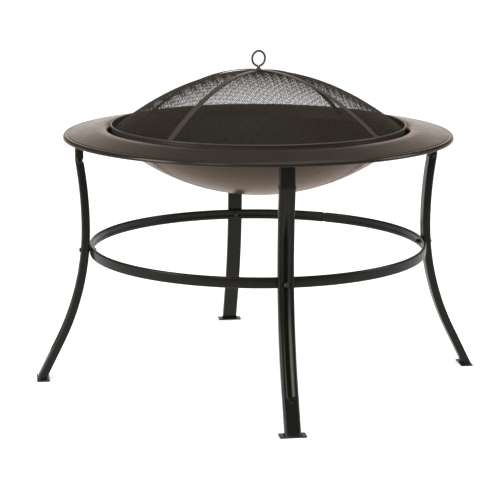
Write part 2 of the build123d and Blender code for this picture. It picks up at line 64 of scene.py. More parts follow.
BAND_LOW, BAND_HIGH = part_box("screen_band")
MESH_LOW, MESH_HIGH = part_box("screen_mesh")
RING_LOW, RING_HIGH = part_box("ring_brace")
LEG_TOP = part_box("leg_right")[1].z
FOOT_LOW, FOOT_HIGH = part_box("foot_plate_right")
EYE_LOW, EYE_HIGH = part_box("lift_ring")
BRACKET_LOW, BRACKET_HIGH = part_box("rim_bracket_right")
LOWER_STRAP_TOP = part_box("screen_strap_lower")[1].z
UPPER_STRAP_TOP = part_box("screen_strap_upper")[1].z
FOOT_TOP = FOOT_HIGH.z
SIDES = {"right": 0, "back": 90, "left": 180, "front": 270}

# ---- sizes of the shapes made here ----------------------------------------------------------

# Bowl pressing; points are (radius, height), those of BEAD_STEP (radius, depth below the flange)
SHEET = 0.0012
DISH_RADIUS = 0.4247
LEDGE_INNER = 0.2855
LEDGE_OUTER = 0.2928
LEDGE_HEIGHT = 0.4805
DISH_BEND = 0.004
LEDGE_BEND = 0.003
CREST_INNER = (0.2990, 0.5017)
CREST_BEND = 0.014
CREST_OUTER = (0.3190, 0.5009)
FLANGE_BEND = 0.080
EDGE_BEAD = (0.3770, 0.4893)
FLANGE_SLOPE = (CREST_OUTER[1] - EDGE_BEAD[1]) / (EDGE_BEAD[0] - CREST_OUTER[0])
BEAD_STEP = ((0.3742, 0.0), (0.3758, 0.0007))
BEAD_STEP_BENDS = (0.002, 0.001)
EDGE_OUTER = 0.3838
EDGE_BOTTOM = 0.4822
EDGE_FOLD = 0.0014
EDGE_SQUARENESS = 0.68
HEM_HEIGHT = 0.0030
SURFACE_STEP = 0.004
DISH_STEPS = 44
EDGE_STEPS = 12
BOWL_SEGMENTS = 300

# Leg tube
LEG_WIDTH = 0.030
LEG_DEPTH = 0.016
LEG_FRONT_CORNER = 0.005
LEG_BACK_CORNER = 0.003
LEG_OUTER = 0.3615
LEG_END_DEPTH = SHEET + 0.0010

# Line of the leg: an upright stub, a bend, a short straight run, two arcs that meet upright,
# and a straight foot
TOP_STUB = 0.046
TOP_LEAN = math.radians(8.5)
TOP_STRAIGHT = 0.014
UPPER_BOW = 0.808
LOWER_BOW = 0.508
FOOT_LEAN = math.radians(26.5)
STUB_STEPS = 28
STRAIGHT_STEPS = 14
FOOT_STEPS = 50
BOW_STEP = 0.002

# Groove in the leg's outer face: it starts below the bend and grows over GROOVE_TOP_FADE, and
# runs out over GROOVE_FADE down to GROOVE_FOOT_STOP above the floor
GROOVE_MOUTH = 0.0112
GROOVE_LIP = 0.00208
GROOVE_LIP_BEND = (0.0008, 0.00005)
GROOVE_FLAT = 0.0022
GROOVE_DEPTH = 0.0070
GROOVE_ROOT = 0.0010
GROOVE_TAPER = 0.3
GROOVE_TOP_STOP = 0.010
GROOVE_TOP_FADE = 0.090
GROOVE_FOOT_STOP = 0.053
GROOVE_FADE = 0.012

# Crimp at the bend: the back is pressed in and the sides bulge
CRIMP_DEPTH = 0.0030
CRIMP_HEIGHT = 0.011
CRIMP_EAR = 0.0018

# Foot plates and welds
FOOT_BEVEL = 0.0005
FOOT_CORNER = 0.0022
FOOT_WELD = 0.0015
FOOT_WELD_OUT = 0.0004
FOOT_WELD_BACK = 0.0003
FOOT_WELD_UP = 0.0005
FOOT_WELD_INSET = (0.002, 0.004)
FOOT_WELD_SPAN = 0.8 * LEG_WIDTH
BRACKET_WELD = 0.0013
BRACKET_WELD_OUT = 0.0006
BRACKET_WELD_LENGTH = 0.016
BRACKET_WELD_DEPTH = SHEET + 0.0009
WELD_RIPPLE = 0.0021
WELD_RIPPLE_SHARE = 0.16
WELD_UNEVENNESS = 0.05
WELD_TAPER_STEPS = 6
WELD_END = 0.25
SIDE_WELD_STEPS = 24
BACK_WELD_STEPS = 30
BRACKET_WELD_STEPS = 14

# Woven dome; its edge is where the dome meets the skirt that is hidden in the band
MESH_PITCH = 0.00375
MESH_WIRE = 0.00066
MESH_WIRE_SIDES = 4
MESH_WIRE_CORNER = 0.54 * MESH_WIRE
MESH_DRIFT = 0.006 * MESH_PITCH
MESH_MARGIN = 0.0002
MESH_SKIRT = 0.009
MESH_YAW = 45
MESH_APEX = MESH_HIGH.z - 0.00025
MESH_EDGE = MESH_LOW.z + MESH_SKIRT
DOME_RADIUS = MESH_HIGH.x - 0.0001
DOME_RISE = MESH_APEX - MESH_EDGE

# Band
BAND_SHEET = 0.0009
BAND_BEAD = 0.0020
BAND_CURL = math.radians(325)
BAND_INNER = 0.2881
BAND_SEGMENTS = 320

# Straps; yaws in degrees
LOWER_STRAP_YAW = 45
UPPER_STRAP_YAW = 135
STRAP_WIDTH = 0.013
STRAP_THICKNESS = 0.0015
STRAP_EDGE = 0.0005
STRAP_LIFT = 0.0006
STRAP_REACH = DOME_RADIUS + 0.00005
STRAP_STEPS = 150
STRAP_TAIL_STEPS = 4

# Lift ring; the outlines of its neck and stud start just off the axis. The neck's stem is given
# as (radius, height over the eye's lowest point), its flare as (radius, thickness of its edge).
LIFT_WIRE = 0.0042
LIFT_YAW = math.radians(23)
EYE_GAP = math.radians(14)
EYE_STEPS = 72
EYE_TOP = EYE_HIGH.z
EYE_BOTTOM = EYE_TOP - 0.0335
NECK_BOTTOM = UPPER_STRAP_TOP + 0.00005
OFF_AXIS = 0.0001
NECK_STEM = ((OFF_AXIS, 0.0016), (0.0030, 0.0014), (0.0034, -0.0008), (0.0040, -0.0030))
NECK_FLARE = (0.0060, 0.0004)
NECK_BENDS = (0.0008, 0.001, 0.003, 0.0003, 0.0001)
STUD_CHAMFER = 0.0004

# Ring brace
RING_DEPTH = 0.0075
RING_CORNER = 0.0030
RING_GROOVE = (0.0074, 0.0007)
RING_GROOVE_EDGE = 0.0016
RING_GROOVE_BEND = 0.001
RING_JOINT = math.radians(56)
RING_JOINT_GAP = 0.0004
RING_SWAGE = 0.0003
RING_SWAGE_LENGTH = 0.020
RING_END_ROUND = (0.0012, 0.0018)
RING_SEGMENTS = 420

# Pieces that are shown as the frame has them
CAD_WELD = 1e-6
CAD_EDGE = 0.00018
CAD_EDGE_SEGMENTS = 2
CAD_EDGE_ANGLE = math.radians(35)

# ---- looks ----------------------------------------------------------------------------------

# Paint; each noise has its scale, detail and roughness
MOTTLE_NOISE = (22, 5, 0.6)
MOTTLE_LIFT = 1.15
WEAR_NOISE = (160, 4, 0.7)
WEAR_PATCHES = (0.42, 0.62)
WEAR_EDGES = (0.53, 0.60)
WEAR_SHARE = 0.55
SHEEN_NOISE = (60, 4, 0.6)
SHEEN_SPREAD = (-0.04, 0.05)
PEEL_NOISE = (420, 2, 0.5)
PEEL_DEPTH = 0.00012
GRAIN_NOISE = (1500, 2, 0.5)
GRAIN_DEPTH = 0.00005
GRAIN_STRENGTH = 1.5

# Light; each softbox has its place, its aim, its size and its power in watts
SOFTBOXES = {
    "top_softbox": ((0.4, -0.6, 2.6), (0, 0, 0.4), (2.4, 2.0), 26),
    "left_softbox": ((-2.7, -1.1, 1.0), (0, 0, 0.4), (1.2, 1.5), 34),
    "front_softbox": ((-1.9, -2.9, 1.45), (0, -0.3, 0.2), (1.1, 0.9), 14),
    "right_softbox": ((2.95, -0.8, 1.15), (0, -0.3, 0.2), (1.4, 1.4), 24),
}
WORLD_LIGHT = 0.75
WORLD_COLOUR = (1, 0.99, 0.98)
FLOOR_REACH = 14.0
FLOOR_COLOUR = (0.86, 0.86, 0.86)
FLOOR_GLOW = 0.55
# What reflections see; each fade has its level before and after, then its start and end.
# The backdrop fades with the angle from its centre (azimuth, elevation), the floor along Y.
BACKDROP_CENTRE = (math.radians(82), math.radians(3))
BACKDROP_FADE = (1.0, 0.14, math.radians(7), math.radians(28))
FLOOR_FADE = (0.84, 0.10, -0.9, -2.2)

# ---- outlines in the (radius, height) plane -------------------------------------------------


def arc(centre, radius, start, turn, steps):
    """Points on an arc, angles in radians."""
    angles = [start + turn * i / steps for i in range(steps + 1)]
    return [(centre[0] + radius * math.cos(a), centre[1] + radius * math.sin(a)) for a in angles]


def filleted(points, radii, steps):
    """The polyline with each inner corner rounded, from where an arc of its radius would start."""
    path = [points[0]]
    for before, corner, after, radius in zip(points, points[1:], points[2:], radii):
        p, q = Vector(before) - Vector(corner), Vector(after) - Vector(corner)
        turn = math.pi - p.angle(q)
        reach = radius * math.tan(turn / 2)
        start = Vector(corner) + p.normalized() * reach
        end = Vector(corner) + q.normalized() * reach
        for i in range(steps + 1):
            t = i / steps
            path.append(tuple((1 - t) ** 2 * start + 2 * t * (1 - t) * Vector(corner) + t**2 * end))
    path.append(points[-1])
    return path


def thickened(path, thickness):
    """Closed outline of a sheet whose upper side is the path; the sheet lies on its right."""
    lower = []
    for i, point in enumerate(path):
        ahead = Vector(path[min(i + 1, len(path) - 1)])
        behind = Vector(path[max(i - 1, 0)])
        along = (ahead - behind).normalized()
        lower.append((point[0] + along.y * thickness, point[1] - along.x * thickness))
    return path + lower[::-1]


def flange_level(radius, depth):
    """Height of a point that lies a depth below the flange's upper surface."""
    surface = EDGE_BEAD[1] + (EDGE_BEAD[0] - radius) * FLANGE_SLOPE
    return surface - depth * math.sqrt(1 + FLANGE_SLOPE**2)


# ---- making meshes --------------------------------------------------------------------------


def piece(name, vertices, faces, body, material, sharp):
    """A mesh object that rides on a body, smooth but for edges sharper than an angle in degrees."""
    mesh = bpy.data.meshes.new(name)
    mesh.from_pydata([tuple(v) for v in vertices], [], faces)
    work = bmesh.new()
    work.from_mesh(mesh)
    bmesh.ops.remove_doubles(work, verts=work.verts, dist=1e-7)
    bmesh.ops.recalc_face_normals(work, faces=work.faces)
    work.to_mesh(mesh)
    work.free()
    mesh.polygons.foreach_set("use_smooth", [True] * len(mesh.polygons))
    mesh.set_sharp_from_angle(angle=math.radians(sharp))
    mesh.materials.append(material)
    return placed(bpy.data.objects.new(name, mesh), body)


def placed(obj, body, turn=0.0):
    """The object in the scene, turned about the Z axis, riding on a body."""
    obj.rotation_euler.z = turn
    bpy.context.scene.collection.objects.link(obj)
    bpy.context.view_layer.update()
    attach(obj, body)
    return obj


def skin(rings, closed):
    """Faces between rings of equally many points; open runs are capped at both ends."""
    count = len(rings[0])
    faces = []
    spans = len(rings) if closed else len(rings) - 1
    for i in range(spans):
        a, b = i * count, (i + 1) % len(rings) * count
        for j in range(count):
            k = (j + 1) % count
            faces.append((a + j, a + k, b + k, b + j))
    if not closed:
        faces.append(tuple(range(count))[::-1])
        faces.append(tuple(range(len(rings) * count - count, len(rings) * count)))
    return [v for ring in rings for v in ring], faces


def turned(outline, segments):
    """A closed outline of (radius, height) points turned about the Z axis."""
    rings = []
    for i in range(segments):
        a = math.tau * i / segments
        rings.append([(r * math.cos(a), r * math.sin(a), z) for r, z in outline])
    return skin(rings, True)


def tube(points, radius, sides, wobble=None):
    """A round wire along points, its radius scaled by wobble(i) where that is given."""
    rings = []
    normal = None
    for i, p in enumerate(points):
        ahead = points[min(i + 1, len(points) - 1)]
        behind = points[max(i - 1, 0)]
        along = (Vector(ahead) - Vector(behind)).normalized()
        if normal is None:
            normal = along.orthogonal()
        normal = (normal - along * normal.dot(along)).normalized()
        side = along.cross(normal)
        size = radius * (wobble(i) if wobble else 1.0)
        ring = []
        for j in range(sides):
            a = math.tau * j / sides
            ring.append(Vector(p) + normal * size * math.cos(a) + side * size * math.sin(a))
        rings.append(ring)
    return skin(rings, False)


# ---- bowl -----------------------------------------------------------------------------------


def bowl_path():
    """Upper surface of the pressing, from the middle of the dish to the end of the folded edge."""
    centre_height = LEDGE_HEIGHT + math.sqrt(DISH_RADIUS**2 - LEDGE_INNER**2)
    dish_angle = math.asin(LEDGE_INNER / DISH_RADIUS)
    dish = arc((0, centre_height), DISH_RADIUS, -math.pi / 2, dish_angle, steps=DISH_STEPS)
    ledge_end = (LEDGE_OUTER, LEDGE_HEIGHT)
    step = [(radius, flange_level(radius, depth)) for radius, depth in BEAD_STEP]
    corners = [dish[-2], dish[-1], ledge_end, CREST_INNER, CREST_OUTER, *step, EDGE_BEAD]
    radii = [DISH_BEND, LEDGE_BEND, CREST_BEND, FLANGE_BEND, *BEAD_STEP_BENDS]
    bend = filleted(corners, radii, steps=10)
    reach, drop = EDGE_OUTER - EDGE_BEAD[0], EDGE_BEAD[1] - EDGE_BOTTOM
    skirt = []
    for i in range(1, EDGE_STEPS + 1):
        a = math.pi / 2 * i / EDGE_STEPS
        out, up = math.sin(a) ** EDGE_SQUARENESS, math.cos(a) ** EDGE_SQUARENESS
        skirt.append((EDGE_BEAD[0] + reach * out, EDGE_BOTTOM + drop * up))
    hem = arc((EDGE_OUTER - EDGE_FOLD, EDGE_BOTTOM), EDGE_FOLD, 0, -math.pi, steps=6)
    end = (hem[-1][0], EDGE_BOTTOM + HEM_HEIGHT)
    return dish[:-2] + subdivided(bend, SURFACE_STEP) + skirt + hem[1:] + [end]


def subdivided(path, longest):
    """The path with its long runs split, so that the surface shades evenly."""
    fine = [path[0]]
    for a, b in zip(path, path[1:]):
        parts = max(1, math.ceil((Vector(b) - Vector(a)).length / longest))
        fine += [tuple(Vector(a).lerp(Vector(b), i / parts)) for i in range(1, parts + 1)]
    return fine


def make_bowl(paint, inside):
    """The pressing; the inside of the dish has a darker, duller paint that is painted shade under
    the screen.
    """
    vertices, faces = turned(thickened(bowl_path(), SHEET), BOWL_SEGMENTS)
    bowl = piece("bowl_pressing", vertices, faces, "stand", paint, sharp=60)
    bowl.data.materials.append(inside)
    # Upward faces inside the ledge take the darker paint: painted shade in the dish under the
    # screen.
    for face in bowl.data.polygons:
        reach = math.hypot(face.center.x, face.center.y)
        if reach < LEDGE_INNER and face.normal.z > 0:
            face.material_index = 1
    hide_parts("fire_bowl")


# ---- legs -----------------------------------------------------------------------------------


def leg_line():
    """The right leg's centre line from the top down, as stations (point, lean, fade, crimp).

    The point is (radius, height), the lean is from upright, fade is how much of the groove is
    there and crimp how much of the dent below the rim, both from 0 to 1.
    """
    centre = LEG_OUTER - LEG_DEPTH / 2
    top = LEG_TOP - LEG_DEPTH * FLANGE_SLOPE
    bend = top - TOP_STUB
    lean_across, lean_down = TOP_STRAIGHT * math.sin(TOP_LEAN), TOP_STRAIGHT * math.cos(TOP_LEAN)
    bow_start = Vector((centre - lean_across, bend - lean_down))
    waist = bow_start - UPPER_BOW * Vector((1 - math.cos(TOP_LEAN), math.sin(TOP_LEAN)))
    bow_end = waist + LOWER_BOW * Vector((1 - math.cos(FOOT_LEAN), -math.sin(FOOT_LEAN)))
    foot = bow_end + Vector((math.tan(FOOT_LEAN), -1)) * (bow_end.y - FOOT_TOP)
    points = []
    for i in range(STUB_STEPS):
        points.append((Vector((centre, top + (bend - top) * i / STUB_STEPS)), 0.0))
    points.append((Vector((centre, bend)), TOP_LEAN / 2))
    for i in range(1, STRAIGHT_STEPS):
        points.append((Vector((centre, bend)).lerp(bow_start, i / STRAIGHT_STEPS), TOP_LEAN))
    upper_steps = round(UPPER_BOW * TOP_LEAN / BOW_STEP)
    for i in range(upper_steps + 1):
        a = TOP_LEAN * (1 - i / upper_steps)
        points.append((waist + UPPER_BOW * Vector((1 - math.cos(a), math.sin(a))), a))
    lower_steps = round(LOWER_BOW * FOOT_LEAN / BOW_STEP)
    for i in range(1, lower_steps + 1):
        a = FOOT_LEAN * i / lower_steps
        points.append((waist + LOWER_BOW * Vector((1 - math.cos(a), -math.sin(a))), -a))
    for i in range(1, FOOT_STEPS + 1):
        points.append((bow_end.lerp(foot, i / FOOT_STEPS), -FOOT_LEAN))
    groove_top = bend - GROOVE_TOP_STOP
    stations = []
    for point, lean in points:
        fade_top = (groove_top - point.y) / GROOVE_TOP_FADE
        fade_foot = (point.y - GROOVE_FOOT_STOP) / GROOVE_FADE
        fade = max(0.0, min(1.0, fade_top, fade_foot))
        crimp = max(0.0, 1 - abs(point.y - bend) / (CRIMP_HEIGHT / 2))
        stations.append((point, lean, fade, crimp))
    return stations


def groove_half(face, fade):
    """Half of the groove's section, from the flat beside its lip to its root."""
    narrow = fade**GROOVE_TAPER
    bend_out, bend_in = GROOVE_LIP_BEND
    lip = (GROOVE_MOUTH / 2 + GROOVE_LIP) * narrow
    throat = GROOVE_MOUTH / 2 * narrow
    root = GROOVE_ROOT / 2 * narrow
    depth = GROOVE_DEPTH * fade
    return [
        (face, lip + GROOVE_FLAT),
        (face - bend_in * fade, lip + bend_out),
        (face - 0.12 * depth, lip - 0.25 * (lip - throat)),
        (face - 0.3 * depth, throat),
        (face - 0.62 * depth, (throat + root) / 2),
        (face - 0.92 * depth, root),
        (face - depth, root * 0.45),
    ]


def leg_section(fade, crimp):
    """Cross-section points (outwards, across) with the groove faded and the crimp applied."""
    face, back, side = LEG_DEPTH / 2, -LEG_DEPTH / 2, LEG_WIDTH / 2
    back_corner = (back + LEG_BACK_CORNER, side - LEG_BACK_CORNER)
    front_corner = (face - LEG_FRONT_CORNER, side - LEG_FRONT_CORNER)
    # Half the section: back wall, its corner, side wall, front corner, groove
    half = [(back, side * t) for t in (0, 0.2, 0.4, 0.6)]
    half += arc(back_corner, LEG_BACK_CORNER, math.pi, -math.pi / 2, steps=5)
    half += [(back + LEG_DEPTH * t, side) for t in (0.3, 0.45, 0.6)]
    half += arc(front_corner, LEG_FRONT_CORNER, math.pi / 2, -math.pi / 2, steps=6)
    half += groove_half(face, fade)
    dent = CRIMP_DEPTH * crimp
    shaped = []
    for x, y in half:
        inward = max(0.0, (face - x) / LEG_DEPTH)
        bulge = CRIMP_EAR * crimp * math.sin(math.pi * min(1.0, inward)) * (y / side) ** 4
        shaped.append((x + dent * inward**3, y + bulge))
    mirrored = [(x, -y) for x, y in reversed(shaped[1:])]
    return shaped + mirrored


def leg_rings():
    """Sections of the right leg, cut to the flange at the top and to the foot plate below."""
    stations = leg_line()
    rings = []
    for i, (point, lean, fade, crimp) in enumerate(stations):
        out = Vector((math.cos(lean), -math.sin(lean)))
        up = Vector((math.sin(lean), math.cos(lean)))
        ring = []
        for x, y in leg_section(fade, crimp):
            p = point + out * x
            if i == 0:
                p += up * (flange_level(p.x, LEG_END_DEPTH) - p.y) / up.y
            if i == len(stations) - 1:
                p += up * (FOOT_TOP - p.y) / up.y
            ring.append((p.x, y, p.y))
        rings.append(ring)
    return rings


def at_other_sides(first, stem):
    """Copies of the right side's piece at the other three sides, as (object, side) pairs."""
    copies = []
    for side, degrees in list(SIDES.items())[1:]:
        copy = bpy.data.objects.new(f"{stem}_{side}", first.data)
        copies.append((placed(copy, "stand", math.radians(degrees)), side))
    return copies


def make_legs(paint):
    vertices, faces = skin(leg_rings(), False)
    first = piece("leg_tube_right", vertices, faces, "stand", paint, sharp=50)
    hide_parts("leg_right")
    for leg, side in at_other_sides(first, "leg_tube"):
        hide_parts(f"leg_{side}")


def make_feet(paint):
    """Flat plates with rounded corners and softened edges."""
    low, high = FOOT_LOW, FOOT_HIGH
    bevel = FOOT_BEVEL
    rings = []
    for inset, z in ((bevel, low.z), (0, low.z + bevel), (0, high.z - bevel), (bevel, high.z)):
        corners = ((low.x + inset, low.y + inset), (high.x - inset, low.y + inset),
                   (high.x - inset, high.y - inset), (low.x + inset, high.y - inset))
        ring = []
        for number, (x, y) in enumerate(corners):
            inwards = ((1, 1), (-1, 1), (-1, -1), (1, -1))[number]
            centre = (x + FOOT_CORNER * inwards[0], y + FOOT_CORNER * inwards[1])
            start = math.pi + number * math.pi / 2
            corner = arc(centre, FOOT_CORNER, start, math.pi / 2, steps=4)
            ring += [(p[0], p[1], z) for p in corner]
        rings.append(ring)
    vertices, faces = skin(rings, False)
    first = piece("foot_pad_right", vertices, faces, "stand", paint, sharp=30)
    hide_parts("foot_plate_right")
    for foot, side in at_other_sides(first, "foot_pad"):
        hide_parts(f"foot_plate_{side}")


def weld_bead(points, radius):
    """A rippled bead along points, tapered at both ends."""
    count = len(points)
    spacing = sum((Vector(b) - Vector(a)).length for a, b in zip(points, points[1:])) / (count - 1)

    def wobble(i):
        end = min(1.0, WELD_END + min(i, count - 1 - i) / WELD_TAPER_STEPS)
        wave = WELD_RIPPLE_SHARE * math.cos(math.tau * i * spacing / WELD_RIPPLE)
        return end * (1 + wave + random.uniform(-WELD_UNEVENNESS, WELD_UNEVENNESS))

    return tube(points, radius, sides=10, wobble=wobble)


def joined(parts):
    """Several (vertices, faces) pairs as one."""
    vertices, faces = [], []
    for part_vertices, part_faces in parts:
        base = len(vertices)
        vertices += part_vertices
        faces += [tuple(i + base for i in face) for face in part_faces]
    return vertices, faces


def around_z(part, degrees):
    """The part turned about the bowl's axis."""
    turn = Matrix.Rotation(math.radians(degrees), 3, "Z")
    return [turn @ Vector(v) for v in part[0]], part[1]


def make_foot_welds(paint):
    """Beads down both sides and across the back of each leg's foot."""
    end = leg_rings()[-1]
    inner = min(p[0] for p in end)
    outer = max(p[0] for p in end)
    side = LEG_WIDTH / 2 + FOOT_WELD_OUT
    height = FOOT_TOP + FOOT_WELD_UP
    start = inner + FOOT_WELD_INSET[0]
    length = outer - inner - sum(FOOT_WELD_INSET)
    behind = inner - FOOT_WELD_BACK
    along = [i / SIDE_WELD_STEPS for i in range(SIDE_WELD_STEPS + 1)]
    across = [i / BACK_WELD_STEPS - 0.5 for i in range(BACK_WELD_STEPS + 1)]
    for name, degrees in SIDES.items():
        beads = []
        for sign in (-1, 1):
            run = [(start + length * t, sign * side, height) for t in along]
            beads.append(weld_bead(run, FOOT_WELD))
        run = [(behind, t * FOOT_WELD_SPAN, height) for t in across]
        beads.append(weld_bead(run, FOOT_WELD))
        vertices, faces = joined([around_z(bead, degrees) for bead in beads])
        piece(f"foot_weld_{name}", vertices, faces, "stand", paint, sharp=80)


def make_bracket_welds(paint):
    """Short beads that hold each bracket's two ends to the underside of the flange."""
    radius = (BRACKET_LOW.x + BRACKET_HIGH.x) / 2
    half = BRACKET_HIGH.y / radius
    for name, degrees in SIDES.items():
        beads = []
        for sign in (-1, 1):
            run = []
            for i in range(BRACKET_WELD_STEPS + 1):
                r = radius + BRACKET_WELD_LENGTH * (i / BRACKET_WELD_STEPS - 0.5)
                a = sign * (half + BRACKET_WELD_OUT / r)
                run.append((r * math.cos(a), r * math.sin(a), flange_level(r, BRACKET_WELD_DEPTH)))
            beads.append(weld_bead(run, BRACKET_WELD))
        vertices, faces = joined([around_z(bead, degrees) for bead in beads])
        piece(f"bracket_weld_{name}", vertices, faces, "stand", paint, sharp=80)


# ---- ring brace -----------------------------------------------------------------------------


def ring_outline(inset):
    """Flat oval section with a shallow groove along its inner side."""
    middle = (RING_LOW.z + RING_HIGH.z) / 2
    half = (RING_HIGH.z - RING_LOW.z) / 2 - inset
    outer = RING_HIGH.x - inset
    inner = RING_HIGH.x - RING_DEPTH + inset
    corner = RING_CORNER - inset
    points = []
    for centre, start in (
        ((outer - corner, middle - half + corner), -math.pi / 2),
        ((outer - corner, middle + half - corner), 0),
        ((inner + corner, middle + half - corner), math.pi / 2),
    ):
        points += arc(centre, corner, start, math.pi / 2, steps=5)
    width, depth = RING_GROOVE
    groove = [
        (inner, middle + width / 2 + RING_GROOVE_EDGE),
        (inner, middle + width / 2),
        (inner + depth, middle + width / 2 - depth),
        (inner + depth, middle - width / 2 + depth),
        (inner, middle - width / 2),
        (inner, middle - width / 2 - RING_GROOVE_EDGE),
    ]
    points += filleted(groove, [RING_GROOVE_BEND] * 4, steps=3)
    last = (inner + corner, middle - half + corner)
    points += arc(last, corner, math.pi, math.pi / 2, steps=5)
    return points


def make_ring(paint):
    """The hoop: closed but for its butt joint, one end of which was opened out a little."""
    middle = (RING_LOW.z + RING_HIGH.z) / 2
    centre = RING_HIGH.x - RING_DEPTH / 2
    outline = ring_outline(RING_SWAGE)
    gap = RING_JOINT_GAP / centre
    rounding, rounding_length = RING_END_ROUND
    rings = []
    for i in range(RING_SEGMENTS + 1):
        turn = i / RING_SEGMENTS
        a = RING_JOINT + gap / 2 + (math.tau - gap) * turn
        from_start = turn * math.tau * centre
        to_end = (1 - turn) * math.tau * centre
        swell = RING_SWAGE * max(0.0, 1 - from_start / RING_SWAGE_LENGTH) ** 0.5
        round_end = rounding * max(0.0, 1 - min(from_start, to_end) / rounding_length) ** 2
        ring = []
        for r, z in outline:
            grow = Vector((r - centre, z - middle))
            grow.length = max(0.0, grow.length + swell - round_end)
            radius = centre + grow.x
            ring.append((radius * math.cos(a), radius * math.sin(a), middle + grow.y))
        rings.append(ring)
    vertices, faces = skin(rings, False)
    ring = piece("ring_hoop", vertices, faces, "stand", paint, sharp=50)
    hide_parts("ring_brace")


# ---- spark screen ---------------------------------------------------------------------------


def make_band(paint):
    """Upright band whose top edge is rolled outwards, open where the curl meets the sheet."""
    roll = BAND_HIGH.z - BAND_BEAD
    curl = arc((BAND_INNER + BAND_BEAD, roll), BAND_BEAD, math.pi, -BAND_CURL, steps=30)
    path = subdivided([(BAND_INNER, BAND_LOW.z), (BAND_INNER, roll)], SURFACE_STEP) + curl[1:]
    vertices, faces = turned(thickened(path, BAND_SHEET), BAND_SEGMENTS)
    body, slot = "spark_screen", "screen_paint"
    band = piece("screen_rim_band", vertices, faces, body, paint, sharp=60)
    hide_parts("screen_band")


def dome_height(radius):
    """Height of the mesh's middle surface."""
    return MESH_APEX - DOME_RISE * (radius / DOME_RADIUS) ** 2


def make_mesh(paint):
    """Two families of round wires, each woven over and under the other, pressed into a dome."""
    reach = DOME_RADIUS - MESH_MARGIN
    lines = int(reach / MESH_PITCH)
    drift = [random.uniform(-1, 1) * MESH_DRIFT for _ in range(2 * lines + 2)]
    owners = {}
    for family in (0, 1):
        axis = math.radians(MESH_YAW + 90 * family)
        along = Vector((math.cos(axis), math.sin(axis), 0))
        across = Vector((-math.sin(axis), math.cos(axis), 0))
        for half in (0, 1):
            owners[family, half] = []
        for i in range(-lines, lines):
            offset = (i + 0.5) * MESH_PITCH + drift[i + lines]
            if abs(offset) >= reach:
                continue
            ends = math.sqrt(reach**2 - offset**2)
            steps = int(ends / MESH_PITCH)
            places = [-ends, *[(j + 0.5) * MESH_PITCH for j in range(-steps, steps)], ends]
            wire = []
            for t in places:
                j = round(t / MESH_PITCH - 0.5)
                side = 1 if (i + j + family) % 2 else -1
                flat = along * t + across * offset
                fall = 2 * DOME_RISE / DOME_RADIUS**2
                normal = Vector((fall * flat.x, fall * flat.y, 1)).normalized()
                centre = Vector((flat.x, flat.y, dome_height(flat.length)))
                wire.append(centre + normal * side * MESH_WIRE * 0.5)
            owners[family, 0 if i < 0 else 1].append(wire)
    first = None
    for (family, half), wires in owners.items():
        vertices, faces = joined([tube(wire, MESH_WIRE_CORNER, MESH_WIRE_SIDES) for wire in wires])
        name = f"mesh_{('warp', 'weft')[family]}_{('low', 'high')[half]}"
        part = piece(name, vertices, faces, "spark_screen", paint, sharp=180)
        first = first or part
    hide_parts("screen_mesh")


def strap_line(bottom):
    """Stations (point, angle) along a strap, from the tail inside the band to the other tail."""
    reach = STRAP_REACH
    outside = reach + STRAP_THICKNESS / 2
    rise = MESH_EDGE - MESH_LOW.z
    middle = bottom + STRAP_THICKNESS / 2
    stations = []
    for i in range(STRAP_TAIL_STEPS):
        up = rise * i / STRAP_TAIL_STEPS
        stations.append((Vector((-outside, MESH_LOW.z + up)), 0.5 * math.pi))
    for i in range(STRAP_STEPS + 1):
        x = -reach + 2 * reach * i / STRAP_STEPS
        z = middle - (middle - MESH_EDGE - STRAP_LIFT) * (x / reach) ** 2
        angle = math.atan(-2 * (middle - MESH_EDGE) * x / reach**2)
        stations.append((Vector((x, z)), angle))
    for i in range(STRAP_TAIL_STEPS):
        down = rise * (i + 1) / STRAP_TAIL_STEPS
        stations.append((Vector((outside, MESH_EDGE - down)), -0.5 * math.pi))
    return stations


def make_strap(name, node, top, yaw, paint):
    """A flat bar with rounded edges, bent over the dome, whose highest point is at top."""
    bottom = top - STRAP_THICKNESS
    half, thick = STRAP_WIDTH / 2 - STRAP_EDGE, STRAP_THICKNESS / 2 - STRAP_EDGE
    outline = []
    centres = ((half, -thick), (half, thick), (-half, thick), (-half, -thick))
    for quarter, centre in enumerate(centres):
        outline += arc(centre, STRAP_EDGE, (quarter - 1) * math.pi / 2, math.pi / 2, steps=3)
    turn = Matrix.Rotation(math.radians(yaw), 3, "Z")
    rings = []
    for point, angle in strap_line(bottom):
        up = Vector((-math.sin(angle), math.cos(angle)))
        ring = [turn @ Vector((point.x + up.x * v, u, point.y + up.y * v)) for u, v in outline]
        rings.append(ring)
    vertices, faces = skin(rings, False)
    strap = piece(name, vertices, faces, "spark_screen", paint, sharp=40)
    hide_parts(node)


